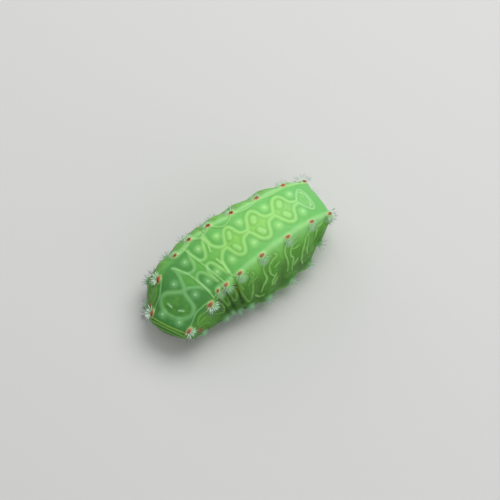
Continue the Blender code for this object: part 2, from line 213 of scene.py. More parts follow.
def ring_stations(count):
    """Stations of evenly spread rings, measured along four lines of the skin."""
    fine = LAST * (1 - np.cos(np.linspace(0, np.pi, 3001))) / 2
    lines = [body_surface(fine, q) for q in (0.0, 0.9, 1.6, 2.4)]
    steps = sum(np.linalg.norm(np.diff(line, axis=0), axis=1) for line in lines)
    travelled = np.concatenate([[0], np.cumsum(steps)])
    return np.interp(np.linspace(0, travelled[-1], count + 1), travelled, fine)


def face_outwards(bm):
    bmesh.ops.recalc_face_normals(bm, faces=bm.faces)
    if bm.calc_volume(signed=True) < 0:
        bmesh.ops.reverse_faces(bm, faces=bm.faces)


def object_from(bm, name, *materials):
    """Turns a bmesh into a smooth-shaded object at the origin."""
    mesh = bpy.data.meshes.new(name)
    bm.to_mesh(mesh)
    bm.free()
    mesh.shade_smooth()
    for material in materials:
        mesh.materials.append(material)
    return add_object(name, mesh)


sphere = bmesh.new()
bmesh.ops.create_uvsphere(sphere, u_segments=COLUMNS, v_segments=RINGS, radius=1)
ring_places = ring_stations(RINGS)
unit = np.array([vertex.co for vertex in sphere.verts])
ring = np.rint((0.5 - np.arcsin(np.clip(unit[:, 2], -1, 1)) / np.pi) * RINGS).astype(int)
turned = np.arctan2(unit[:, 0], -unit[:, 1]) / np.pi
station_of = ring_places[ring]
q_of = np.sign(turned) * np.interp(np.abs(turned), COLUMN_SHARES, range(5))
flesh = body_surface(station_of, q_of)
for vertex, co in zip(sphere.verts, flesh * MM):
    vertex.co = co
face_outwards(sphere)
skin = object_from(sphere, "skin")
normals = np.array([vertex.normal for vertex in skin.data.vertices])
print(f"skin: {len(flesh)} points, {2 * len(skin.data.polygons)} triangles at most")

# %% [markdown]
# ## Drawing on the skin
# The pale, slightly raised lines of the back make a chain of rounded cells, one from each
# wart pair to the next. A drawing on such a surface is easiest in its own measures, so each
# line is a few given points of (station, q), smoothed and mostly mirrored.
# Every skin point then learns how far it is from the nearest line, in half widths. The
# shader turns that distance into colour, and the same number raises the line from the skin.

# %% Lines and how far they are
BOTH, LEFT, RIGHT = (1, -1), (1,), (-1,)  # the sides of the body, as signs of q
CURVE_STEPS = 14  # samples from one given point to the next
CREASE_WIDTH, HANGING_WIDTH = 0.042, 0.060  # half widths in millimetres
# The chain of cells has a half width of its own at each of these stations.
LINE_WIDTHS = ((1.9, 0.095), (2.3, 0.070), (3.8, 0.072), (4.4, 0.080), (7.9, 0.080), (8.25, 0.050))


def trail(points, sides=BOTH):
    """Places in millimetres along a smooth line on the skin, on one or both sides."""
    points = np.array(points, float)
    at = np.linspace(0, len(points) - 1, CURVE_STEPS * (len(points) - 1) + 1)
    station, q = glide(points[:, 0], at), glide(points[:, 1], at)
    return np.concatenate([body_surface(station, q * side) for side in sides])


def distance_to(points, limit, widths=None):
    """Distance of each skin point to the nearest place, or that in half widths of the places."""
    tree = kdtree.KDTree(len(points))
    for index, point in enumerate(points):
        tree.insert(point, index)
    tree.balance()
    low, high = points.min(0) - limit, points.max(0) + limit
    widths = np.ones(len(points)) if widths is None else widths
    found = np.full(len(flesh), limit / widths.max())
    for index in np.flatnonzero(((flesh > low) & (flesh < high)).all(1)):
        _, nearest, apart = tree.find(flesh[index])
        found[index] = min(limit, apart) / widths[nearest]
    return found


def shifted(base, steps):
    return [(base + step, q) for step, q in steps]


def trails(parts, sides=BOTH):
    """Places along several lines, each given by a base station and its steps from there."""
    return np.concatenate([trail(shifted(*part), sides) for part in parts])


numbers = {}  # what every skin point knows, by name: mostly distances in half widths

T2, T3, A1, A2, A3, A4, A5, A6, A7, A8 = range(1, 11)
CELL = ((.05, .04), (.13, .16), (.22, .33), (.32, .46), (.45, .53), (.57, .51),
        (.65, .40), (.71, .24), (.79, .12), (.90, .075), (1.03, .055))
HEART = ((.93, .02), (.86, .09), (.78, .24), (.72, .38), (.65, .51), (.55, .60), (.44, .62),
         (.31, .55), (.20, .38), (.13, .19), (.11, .0))
NECK = ((-.02, .02), (.08, .07), (.21, .19), (.36, .33), (.47, .50), (.50, .65))
LOOP = ((-.48, .60), (-.47, .34), (-.37, .16), (-.16, .09), (.06, .13), (.22, .29), (.38, .49),
        (.52, .64))
THROAT = ((-.45, .64), (-.46, .44), (-.40, .24), (-.16, .08), (.03, .05))
RUMP = ((.03, .055), (.13, .22), (.29, .41), (.42, .46), (.51, .38), (.57, .18), (.58, .0))
RUMP_INNER = ((.33, .33), (.43, .27), (.485, .13), (.49, .0))
TRUNK = ((.90, .0), (1.03, .0))
CHAIN = ((T2, HEART), (T2, TRUNK), (T3, NECK), (A1, LOOP), (A2 - .04, LOOP), (A3, THROAT),
         (A3, [(step, .9 * q) for step, q in CELL]), (A4, CELL), (A5, CELL), (A6, RUMP))
cell_lines = trails((*CHAIN, (A6, RUMP_INNER)))
numbers["line"] = distance_to(cell_lines, 0.5) / np.interp(station_of, *zip(*LINE_WIDTHS))
CREASES = (  # where the drawn-together rings of the front fold against each other
    (T3, ((.52, -.67), (.58, -.40), (.62, -.14), (.60, .14), (.56, .40), (.48, .64), (.36, .88))),
    (A1, ((.46, -.82), (.48, -.55), (.51, -.29), (.58, .0), (.68, .27), (.82, .56), (.96, .83))),
    (A2, ((.20, -.84), (.42, -.66), (.70, -.84))),
    (A2, ((.42, -.66), (.47, -.42), (.44, -.22))),
    (A2, ((.42, .15), (.50, .40), (.52, .62), (.64, .84))),
)
RIMS = ((T2, ((.07, .86), (.24, .83), (.54, .71), (.80, .76), (1.05, .84))),
        (A8, ((.02, .84), (.14, .52), (.18, .0))))
RIDGE_DIPS = ((A1, .74), (A2, .68), (A3, .58), (A4, .71), (A5, .72), (A6, .76))
arcs = [(base, ((.04, .93), (.22, .6 * dip + .36), (.48, dip), (.78, .6 * dip + .36), (.96, .93)))
        for base, dip in RIDGE_DIPS]
creases = np.concatenate([trails(CREASES, LEFT), trails(RIMS), trails(arcs, RIGHT)])
numbers["crease"] = distance_to(creases, 0.4) / CREASE_WIDTH
outline = sorted(point for part in CHAIN for point in shifted(*part))
outline_q = np.interp(station_of, *zip(*outline), left=-1, right=-1)
numbers["cell"] = np.clip(0.5 + (outline_q - np.abs(q_of)) / 0.12, 0, 1)
print(len(cell_lines), "places on the chain of cells and", len(creases), "on creases")

# %% [markdown]
# ## Bands, spots and dots
# A broad pale band runs along the ridge from wart to wart. Inside each cell lie two pale
# ovals or strokes, and each scallop between the cells swells towards a small bright dot.
# An oval is a very short line with a wide brush, so the same tool draws it.

# %% Ridge band, ovals and dots
BAND = [(base + step, q) for base in range(A1, A8) for step, q in ((.0, .92), (.5, .84))]
BAND_WIDTH = 0.16
OVALS = (  # base station, the line through a pair of ovals, and its half width
    (T2, ((.385, .15), (.43, .30)), .060),
    (A2, ((.38, .13), (.44, .30)), .065),
    (A3, ((.38, .14), (.46, .28)), .150),
    (A4, ((.40, .17), (.46, .265)), .185),
    (A5, ((.40, .17), (.46, .265)), .185),
    (A6, ((.37, .08), (.40, .31)), .045),
)
DOTS = ((T2 + .07, .38), (T3 + .01, .35), (A1 - .03, .47), (A2 - .01, .44), (A3 - .01, .43),
        (A4 - .01, .42), (A5 - .03, .41), (A6 - .03, .42))


def spots(points, sides=BOTH):
    """The places in millimetres of single points of the skin."""
    return np.array([body_surface(station, q * side) for station, q in points for side in sides])


numbers["band"] = distance_to(trail(BAND), 0.8) / BAND_WIDTH
numbers["oval"] = np.minimum.reduce([distance_to(trails([(base, line)]), 0.8) / wide
                                     for base, line, wide in OVALS])
numbers["dot"] = distance_to(spots(DOTS), 0.8)  # in millimetres
print(len(DOTS) * 2, "dots and", len(OVALS) * 2, "ovals and strokes")

# %% [markdown]
# ## The pattern of the flank
# Below the ridge the lines hang down: hooks, nested loops and long strokes that follow the
# soft folds of the skin. They taper at their ends, and a slow noise makes them waver in width
# and strength. Lower down a groove parts the flank from the sole.

# %% Hanging lines
FLANK = (  # base station, and the steps of each line from there
    (A2, ((.66, .80), (.70, .97), (.72, 1.16), (.76, 1.29), (.84, 1.43))),
    (A3, ((.43, 1.09), (.48, 1.19), (.41, 1.24), (.22, 1.35), (.14, 1.42))),
    (A3, ((.61, 1.31), (.47, 1.31), (.37, 1.34), (.31, 1.40))),
    (A3, ((.34, 1.72), (.58, 1.84), (.80, 1.82))),
    (A4, ((.02, 1.07), (-.04, 1.21), (-.11, 1.30), (-.07, 1.45), (-.03, 1.53), (-.12, 1.60),
          (-.23, 1.65), (-.32, 1.76))),
    (A4, ((.21, 1.23), (.12, 1.35), (.12, 1.45), (.17, 1.53), (.28, 1.59))),
    (A4, ((.34, 1.54), (.28, 1.60), (.19, 1.66), (.15, 1.72))),
    (A4, ((.42, 1.63), (.32, 1.68), (.24, 1.74))),
    (A4, ((.21, 1.28), (.29, 1.21), (.41, 1.18), (.44, 1.12), (.34, 1.07))),
    (A4, ((.51, 1.32), (.28, 1.39))),
    (A5, ((-.03, 1.06), (-.15, 1.11), (-.23, 1.20), (-.25, 1.31), (-.20, 1.45), (-.17, 1.58),
          (-.22, 1.68))),
    (A5, ((.30, 1.15), (.17, 1.21), (.06, 1.26), (-.02, 1.33), (-.03, 1.44), (.06, 1.52),
          (.01, 1.62), (-.01, 1.72))),
    (A5, ((.26, 1.56), (.16, 1.61), (.08, 1.67))),
    (A5, ((.33, 1.28), (.19, 1.32), (.06, 1.32))),
    (A6, ((-.05, 1.14), (-.19, 1.17), (-.37, 1.21), (-.44, 1.30), (-.56, 1.45), (-.59, 1.58),
          (-.55, 1.69), (-.44, 1.79))),
    (A6, ((-.22, 1.20), (-.26, 1.34), (-.31, 1.44), (-.36, 1.53), (-.24, 1.66))),
    (A6, ((.20, 1.18), (.19, 1.37), (.24, 1.55))),
    (A6, ((.24, 1.16), (.53, 1.10), (.92, 1.07))),
    (T2, ((.31, 1.09), (.49, .91), (.67, .94), (.82, 1.03))),
    (T2, ((.30, 1.18), (.56, 1.13), (.72, 1.30))),
    (T2, ((.27, 1.32), (.46, 1.44), (.55, 1.62))),
)
SADDLES = ((A1, 1.66, .28), (A2 + .05, 1.60, .28), (A3, 1.80, .36), (T3 + .1, 1.62, .3))
hanging = list(FLANK)
for middle, bottom, wide in SADDLES:
    lower = 1.2 + (bottom - 1.2) * .6
    hanging.append((middle, ((-wide, 1.12), (-wide * .8, lower), (.0, bottom), (wide * .8, lower),
                             (wide, 1.12))))


def tapered(steps):
    """Half widths along a line on both sides of the body, thin at its ends."""
    share = np.linspace(0, np.pi, CURVE_STEPS * (len(steps) - 1) + 1)
    return np.tile(HANGING_WIDTH * (0.55 + 0.52 * np.sqrt(np.sin(share).clip(0, 1))), 2)


def slow_noise(scale):
    """A soft random number from -1 to 1 per skin point. The scale counts lumps per millimetre."""
    return np.array([noise.noise(point * scale) for point in flesh])


hanging_widths = np.concatenate([tapered(steps) for _, steps in hanging])
numbers["hanging"] = distance_to(trails(hanging), 0.5, hanging_widths) / (1 + 0.45 * slow_noise(3.1))
print(len(hanging) * 2, "hanging lines")

# %% Folds, hollows and lobes
FOLDS = ((T3, ((.44, 1.12), (.4, 1.4), (.42, 1.75))),
         (A1, ((.45, 1.03), (.42, 1.25), (.48, 1.75))),
         (A2, ((.45, 1.12), (.48, 1.36), (.52, 1.75))))
NOTCH = ((A6, ((.82, 1.20), (.60, 1.29), (.42, 1.42), (.32, 1.62))),
         (A6, ((.60, 1.29), (.62, 1.60), (.64, 2.00), (.64, 2.25))))
HOLLOWS = ((A3, ((.62, 1.45), (.54, 1.9))), (A4, ((.62, 1.5), (.5, 1.9))),
           (A5, ((.30, 1.72), (.5, 1.95))))
SLIM_FRONT = ((T2, ((.15, 1.25), (.50, 1.32), (.85, 1.25))),)
TAIL_LOBE = ((A7, ((.02, 1.20), (.45, 1.14))),)
tail_folds = [(A8 + at, ((.0, .0), (-.03, .6), (-.1, 1.1), (-.2, 1.6))) for at in (.42, .62, .80)]
lobes = [(middle, ((.0, 1.2), (.0, bottom - .15))) for middle, bottom, _ in SADDLES]
skirt = [(station, 2.34 + .06 * math.cos(2 * math.pi * station)) for station in np.arange(1.5, 9.7, .25)]
stripes = [(middle, [(curve * q * q, q) for q in np.linspace(-1.05, 1.05, 9)])
           for middle, curve in ((.60, .26), (.41, .18), (.20, .09))]
FORMS = {  # each form's lines, their sides, how far they are looked for, half width and height
    "fold": (FOLDS, LEFT, 0.6, 0.12, -0.120),
    "faint_fold": (FOLDS, RIGHT, 0.6, 0.20, -0.050),
    "notch": (NOTCH, BOTH, 0.8, 0.27, -0.300),
    "hollow": (HOLLOWS, BOTH, 0.9, 0.30, -0.070),
    "slim": (SLIM_FRONT, RIGHT, 1.0, 0.45, -0.160),
    "tail_lobe": (TAIL_LOBE, BOTH, 0.8, 0.26, 0.170),
    "tail_fold": (tail_folds, BOTH, 0.4, 0.07, -0.030),
    "lobe": (lobes, BOTH, 0.8, 0.26, 0.060),
    "skirt": ([(0, skirt)], BOTH, 0.5, 0.10, -0.060),
    "stripe": (stripes, LEFT, 0.4, 0.042, 0.012),
}
for name, (parts, sides, limit, half_width, _) in FORMS.items():
    numbers[name] = distance_to(trails(parts, sides), limit) / half_width
OLIVE_SPOTS = ((A1 - .05, 1.08), (A1 + .25, 1.06), (A2 + .60, 1.17), (A2 + .62, 1.30))
numbers["olive"] = distance_to(spots(OLIVE_SPOTS, LEFT), 0.6) / 0.30
print(len(FORMS), "forms from lines")

# %% [markdown]
# ## Warts
# Each wart is a low swelling of the skin. Its upper, inner side carries a raised brick-red
# oval with a pale rim, and its outer side the stinging spines. The warts low on the flank
# are smaller and have no red, but for a dull patch on the first pair.

# %% Where the warts are
RIDGE_WARTS = [(index, 1.0) for index in range(T2, A8 + 1)]
FLANK_WARTS = [(station, 1.95) for station in (1.22, 2.0, 3.0, 4.0, 5.0, 6.0, 7.0, 8.0, 9.0)]
DULL_SPOT = (1.23, 1.63)
GLOW_STEP, GLOW_RADIUS, DULL_RADIUS = 0.13, 0.24, 0.19
PATCH_Q, PATCH_ALONG, PATCH_ACROSS = 0.92, 0.150, 0.070
PATCH_SIZES = {T2: 1.25, T3: 1.25, A1: 0.9}
FAR_AWAY = 9.0

ridge_places, flank_places = spots(RIDGE_WARTS), spots(FLANK_WARTS)
red = np.full(len(flesh), FAR_AWAY)
for index in range(T2, A8):
    for q in (PATCH_Q, -PATCH_Q):
        along = body_surface(index + 0.05, q) - body_surface(index - 0.05, q)
        along /= np.linalg.norm(along)
        offset = flesh - body_surface(index, q)
        lengthwise = offset @ along
        aside = np.linalg.norm(offset - lengthwise[:, None] * along, axis=1)
        ratio = np.hypot(lengthwise / PATCH_ALONG, aside / PATCH_ACROSS)
        red = np.minimum(red, ratio / PATCH_SIZES.get(index, 1.0))
numbers["red"] = red
numbers["dull"] = distance_to(spots([DULL_SPOT]), 0.6) / DULL_RADIUS
outer = spots([(index, q + GLOW_STEP) for index, q in RIDGE_WARTS])
numbers["glow"] = distance_to(np.concatenate([outer, flank_places]), 0.6) / GLOW_RADIUS
print(len(ridge_places), "warts on the ridges and", len(flank_places), "on the flanks")

# %% [markdown]
# ## The collar
# The head hides under the chest. Round it the skin of the chest lies in a soft double fold,
# into which the head can be drawn.

# %% Collar
HEAD_RADII, HEAD_STATION, HEAD_HEIGHT = (0.68, 0.52, 0.48), 1.36, 0.76
COLLAR_FROM_Q = 2.3
head_angle = float(glide(HEADINGS, HEAD_STATION))


def round_an_oval(centre, angle, across, along):
    """Distance of each skin point from an oval's middle, seen from above, 1 on its rim."""
    offset = flesh - centre
    left = offset[:, 0] * math.cos(angle) + offset[:, 1] * math.sin(angle)
    behind = -offset[:, 0] * math.sin(angle) + offset[:, 1] * math.cos(angle)
    return np.hypot(left / across, behind / along)


apart = round_an_oval(place(HEAD_STATION, 0.0, 0.0), head_angle, *HEAD_RADII[:2])
numbers["collar"] = np.where(np.abs(q_of) > COLLAR_FROM_Q, apart, FAR_AWAY)
print("skin points in the collar:", int((numbers["collar"] < 1.8).sum()))

# %% [markdown]
# ## Raising the drawing
# What the light shows must be in the shape. The skin is pushed out along its normals: up at
# lines, ovals, dots and warts, and down beside the lines and in the folds. A slow noise
# makes the flanks softly lumpy.

# %% Relief
WART_RISE, WART_RADIUS = 0.13, 0.37
FLANK_WART_RISE, FLANK_WART_RADIUS = 0.14, 0.32
CELL_RISE, PATCH_RISE = 0.012, 0.04
HILLS = (  # a number, its value in the middle of the hill, the hill's width and its height
    ("line", 0.0, 1.0, 0.024), ("line", 2.2, 1.0, -0.006), ("stripe", 1.8, 1.0, -0.006),
    ("crease", 0.0, 1.0, 0.028), ("crease", 2.2, 1.0, -0.010),
    ("hanging", 0.0, 1.0, 0.024), ("hanging", 2.0, 1.0, -0.014),
    ("band", 0.0, 1.0, 0.020), ("oval", 0.0, 1.0, 0.026),
    ("dot", 0.0, 0.06, 0.018), ("dot", 0.0, 0.26, 0.038),
    ("collar", 1.16, 0.15, 0.130), ("collar", 1.60, 0.16, 0.080), ("collar", 1.38, 0.10, -0.030),
)
LUMPS = ((0.035, 2.2), (0.012, 6.0))  # the height and scale of the flank's lumps


def smooth_step(low, high, values):
    t = np.clip((values - low) / (high - low), 0, 1)
    return t * t * (3 - 2 * t)


def rise_at(places, radius):
    """A round swelling of height 1 at each place, fading out smoothly at a radius."""
    return (1 - (distance_to(places, radius) / radius) ** 2) ** 2


relief = CELL_RISE * numbers["cell"] + PATCH_RISE * (1 - smooth_step(0.6, 1.3, red))
form_hills = [(name, 0.0, 1.0, height) for name, (*_, height) in FORMS.items()]
for name, middle, width, height in (*HILLS, *form_hills):
    relief += height * np.exp(-(((numbers[name] - middle) / width) ** 2))
relief += WART_RISE * rise_at(ridge_places, WART_RADIUS)
relief += FLANK_WART_RISE * rise_at(flank_places, FLANK_WART_RADIUS)
on_flank = np.clip(np.abs(q_of) - 0.9, 0.15, 1) * np.clip(3.2 - np.abs(q_of), 0.15, 1)
for height, scale in LUMPS:
    relief += height * on_flank * slow_noise(scale)
dressed = flesh + normals * relief[:, None]
print(f"relief from {relief.min():.3f} to {relief.max():.3f} mm")

# %% [markdown]
# ## The sole
# Slug moth larvae have no prolegs. They glide on a soft flat sole with an oval sucker under
# each of seven rings. The suckers press flat on the floor, and their rims stand a little
# lower than their middles.

# %% Suckers
SUCKER_HALF_WIDTH, SUCKER_SHARE, SUCKER_HOLLOW = 0.74, 0.30, 0.03
SOLE_HEIGHT = 0.45  # in millimetres; what is higher belongs to no sucker
SHAPE_ONLY = ("faint_fold", "notch", "slim", "tail_lobe", "tail_fold", "lobe")  # have no colour


def keep_as(piece, name, values):
    """Stores one number per point of a piece, for its material to read."""
    layer = piece.data.attributes.new(name, "FLOAT", "POINT")
    layer.data.foreach_set("value", np.asarray(values, np.float32))


sucker = np.full(len(flesh), FAR_AWAY)
for index in range(A1, A8):
    steps = [LEAN[k] - LEAN[k - 1] + STATIONS[k][1] for k in (index, index + 1)]
    apart = round_an_oval(place(index, 0.0, 0.0, LEAN[index]), float(glide(HEADINGS, index)),
                          SUCKER_HALF_WIDTH, SUCKER_SHARE * min(steps))
    sucker = np.minimum(sucker, np.where(flesh[:, 2] < SOLE_HEIGHT, apart, FAR_AWAY))
pressed = 1 - smooth_step(1.0, 1.35, sucker)
hollow = SUCKER_HOLLOW * (1 - smooth_step(0.55, 0.9, sucker))
dressed[:, 2] = np.maximum(dressed[:, 2] * (1 - pressed) + hollow * pressed, 0.0)
skin.data.vertices.foreach_set("co", (dressed * MM).astype(np.float32).ravel())
numbers.update(sucker=sucker, station=station_of / LAST, across=np.abs(q_of) / 4,
               left=np.clip(0.5 + q_of, 0, 1))
for name, values in numbers.items():
    if name not in SHAPE_ONLY:
        keep_as(skin, name, values)
skin.data.update()
print("on the floor:", int((dressed[:, 2] < 1e-4).sum()), "points of", A8 - A1, "suckers")

# %% [markdown]
# ## Tools for finishes
# Materials are built from nodes by short helpers: one adds a node, one fades a distance
# into a mask, one lays a colour over another. Colours are three numbers, as on a screen.

# %% Node helpers
def paint(red, green, blue):
    """A colour picked as on a screen, 0 to 255, as the linear values that shaders want."""
    shares = np.array((red, green, blue)) / 255
    linear = np.where(shares <= 0.04045, shares / 12.92, ((shares + 0.055) / 1.055) ** 2.4)
    return (*linear.tolist(), 1.0)


class Finish:
    """A material and short calls that add nodes to it."""

    def __init__(self, name):
        self.material = bpy.data.materials.new(name)
        self.material.use_nodes = True
        self.tree = self.material.node_tree

    def feed(self, socket, value):
        """Links a node's output to a socket, or sets it to a number or a colour."""
        if isinstance(value, bpy.types.NodeSocket):
            self.tree.links.new(value, socket)
        else:
            socket.default_value = paint(*value) if socket.type == "RGBA" else value

    def add(self, kind, inputs, output=0, **settings):
        """Adds a node, sets it, feeds its inputs and gives back one of its outputs."""
        made = self.tree.nodes.new("ShaderNode" + kind)
        for key, value in settings.items():
            setattr(made, key, value)
        for key, value in inputs.items():
            self.feed(made.inputs[key], value)
        return made.outputs[output]

    def number(self, name):
        """A number that is stored on the piece's points."""
        return self.add("Attribute", {}, "Fac", attribute_name=name)

    def fade(self, value, near, far, start=1.0, end=0.0):
        """Runs smoothly from start to end while a value goes from near to far."""
        inputs = {"Value": value, "From Min": near, "From Max": far, "To Min": start, "To Max": end}
        return self.add("MapRange", inputs, interpolation_type="SMOOTHSTEP")

    def rise(self, value, near, far, end=1.0):
        return self.fade(value, near, far, 0.0, end)

    def times(self, a, b, plus=0.0):
        return self.add("Math", {0: a, 1: b, 2: plus}, operation="MULTIPLY_ADD")

    def over(self, mask, below, above):
        """Lays one colour over another where the mask says."""
        return self.add("Mix", {0: mask, 6: below, 7: above}, 2, data_type="RGBA")

    def lay(self, below, number, near, far, strength, colour):
        """Lays a colour over the lines whose distances a number holds."""
        return self.over(self.times(self.fade(self.number(number), near, far), strength), below, colour)

    def ramp(self, value, *stops):
        colour = self.add("ValToRGB", {"Fac": value})
        elements = colour.node.color_ramp.elements
        while len(elements) < len(stops):
            elements.new(0.5)
        for element, (position, shade) in zip(elements, stops):
            element.position, element.color = position, paint(*shade)
        return colour

    def noise(self, scale, detail=3.0, kind="TexNoise", output="Fac"):
        """A pattern that is fixed in the piece's own place. The scale counts lumps per metre."""
        inputs = {"Vector": self.add("TexCoord", {}, "Object"), "Scale": scale, "Detail": detail}
        return self.add(kind, inputs, output)

    def bump(self, height, depth, strength, **under):
        return self.add("Bump", {"Strength": strength, "Distance": depth, "Height": height, **under})

    def set(self, **values):
        for key, value in values.items():
            self.feed(self.tree.nodes["Principled BSDF"].inputs[key.replace("_", " ")], value)


def speckled(name, stops, scale, detail=3.0, grain=None, **looks):
    """A finish in speckled tones. A fine grain is given as its scale, depth and strength."""
    made = Finish(name)
    made.set(Base_Color=made.ramp(made.noise(scale, detail), *stops), **looks)
    if grain:
        made.set(Normal=made.bump(made.noise(grain[0], 2.0), *grain[1:]))
    return made


print("helpers ready")

# %% [markdown]
# ## Floor and light
# The animal sits on a plain pale floor. One wide soft light stands high behind it, so that
# the chest, which slopes to the front, lies in softer light, and a fill from either side
# keeps the flanks open. Wide lights give the moist skin broad, quiet highlights.

# %% Floor and light
LIGHTS = (  # name, width in metres, power in watts and place
    ("high", 0.11, 0.116, (-0.02, 0.055, 0.11)),
    ("left fill", 0.12, 0.036, (0.11, 0.02, 0.07)),
    ("right fill", 0.12, 0.036, (-0.12, 0.0, 0.06)),
)
LIT_PLACE = Vector((0, 0, 0.002))
SKY_STRENGTH, FLOOR_SIZE = 0.46, 1.5
bpy.context.scene.view_settings.view_transform = "Standard"
for name, width, power, stand in LIGHTS:
    lamp = add_object(name, bpy.data.lights.new(name, "AREA"))
    lamp.data.shape, lamp.data.size, lamp.data.energy = "DISK", width, power
    lamp.location = stand
    lamp.rotation_euler = (Vector(stand) - LIT_PLACE).to_track_quat("Z", "Y").to_euler()
world = bpy.context.scene.world or bpy.data.worlds.new("studio")
bpy.context.scene.world = world
world.use_nodes = True
sky = world.node_tree.nodes["Background"]
sky.inputs["Color"].default_value = paint(225, 230, 235)
sky.inputs["Strength"].default_value = SKY_STRENGTH
floor_bm = bmesh.new()
bmesh.ops.create_grid(floor_bm, x_segments=1, y_segments=1, size=FLOOR_SIZE)
floor_finish = Finish("pale floor")
floor_finish.set(Base_Color=(205, 204, 200), Roughness=0.8)
floor = object_from(floor_bm, "floor", floor_finish.material)
floor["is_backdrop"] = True
print("floor and", len(LIGHTS), "lights")

# %% [markdown]
# ## The skin's finish
# The skin is moist, finely grained and a little see-through: light goes in and comes out
# again, which softens every edge, so it gets some subsurface scattering. The back is a
# light yellow-green in the middle and a deeper green on the chest, and the flanks are
# darker. Part of this is painted light and shade: the middle of the back is painted lighter
# where the light falls from above, the chest, which slopes away from the light, darker, the
# rump a little bluer as a painted reflection of the sky, the rear flank and the lobes' rims
# lighter, and the front of the left flank darker. Over that ground the numbers lay painted
# shade in the grooves, folds and hollows, and lines, ovals, dots and red patches.

# %% The ground colours
f = Finish("slug moth skin")  # f for finish, because it comes back in every line
along, across = f.number("station"), f.number("across")
# The ramp along the back is partly painted shade and light: darker on the chest, which slopes away from the
# light, and a little bluer on the rump as a painted reflection of the sky.
back = f.ramp(along, (0.03, (46, 88, 26)), (0.062, (58, 110, 40)), (0.09, (64, 119, 50)),
              (0.13, (74, 130, 60)), (0.20, (90, 154, 74)), (0.27, (100, 172, 80)),
              (0.36, (112, 184, 88)), (0.45, (128, 199, 97)), (0.55, (141, 207, 110)),
              (0.66, (141, 205, 118)), (0.75, (133, 199, 120)), (0.83, (126, 189, 116)),
              (0.95, (112, 170, 88)))
flank = f.ramp(across, (0.22, (112, 178, 80)), (0.30, (100, 166, 62)), (0.40, (76, 136, 42)),
               (0.47, (66, 120, 40)), (0.60, (110, 150, 84)), (1.0, (170, 196, 130)))
# Painted light: the rear flank, which faces the light, is painted lighter.
painted_rear_light = f.times(f.rise(along, 0.48, 0.66), f.fade(across, 0.62, 0.46))
flank = f.over(painted_rear_light, flank, (152, 218, 118))
# Painted rim light: a pale bluish rim along the lobes of the flank, strongest towards the rear.
painted_rim_light = f.times(f.rise(across, 0.37, 0.45, 0.75), f.fade(across, 0.62, 0.50))
painted_rim_light = f.times(painted_rim_light, f.fade(along, 0.42, 0.60, 0.15, 1.0))
flank = f.over(painted_rim_light, flank, (150, 206, 148))
ground = f.over(f.rise(across, 0.21, 0.34), back, flank)
# Painted shade on the front face under the chest and on the tail end, which turn away from the light.
ground = f.over(f.fade(along, 0.0, 0.045), ground, (60, 108, 38))
ground = f.over(f.fade(along, 1.0, 0.955), ground, (112, 170, 88))
ground = f.over(f.rise(f.noise(3800, 4.0), 0.35, 0.65, 0.30), ground, (112, 186, 76))
# Painted light: the top of the back in the middle, where the light falls from above, is painted lighter and
# yellower.
yellow = f.times(f.fade(across, 0.0, 0.20, 0.35, 0.0), f.rise(along, 0.40, 0.5))
ground = f.over(f.times(yellow, f.fade(along, 0.64, 0.74)), ground, (156, 216, 92))
scallop = f.over(f.rise(along, 0.20, 0.52), (66, 130, 66), (108, 188, 98))
between_cells = f.times(f.fade(f.number("cell"), 0.9, 0.1, 0.0, 0.66), f.rise(across, 0.225, 0.185))
ground = f.over(between_cells, ground, scallop)
# Painted shade in the grooves beside the raised lines, creases and ovals.
for furrow_shade in (("line", 1.0, 3.6, 0.26, (84, 150, 58)), ("crease", 1.0, 3.2, 0.30, (78, 142, 52)),
               ("oval", 1.1, 1.9, 0.30, (96, 164, 62))):
    ground = f.lay(ground, *furrow_shade)
# Painted shade: the front of the left flank, which lies away from the light, is painted darker.
painted_flank_shade = f.times(f.rise(along, 0.13, 0.20, 0.6), f.fade(along, 0.38, 0.52))
painted_flank_shade = f.times(painted_flank_shade, f.times(f.number("left"), f.fade(across, 0.50, 0.66)))
ground = f.over(f.times(painted_flank_shade, f.rise(across, 0.28, 0.36)), ground, (48, 94, 24))
print("ground with", len(f.tree.nodes), "nodes")

# %% The drawing's colours
# The pale colours are painted darker on the chest and the front of the flank, as shade, like the ground
# under them.
pale = f.over(f.rise(along, 0.20, 0.42), (130, 190, 122), (170, 228, 132))
pale = f.over(f.rise(along, 0.68, 0.76), pale, (168, 222, 156))
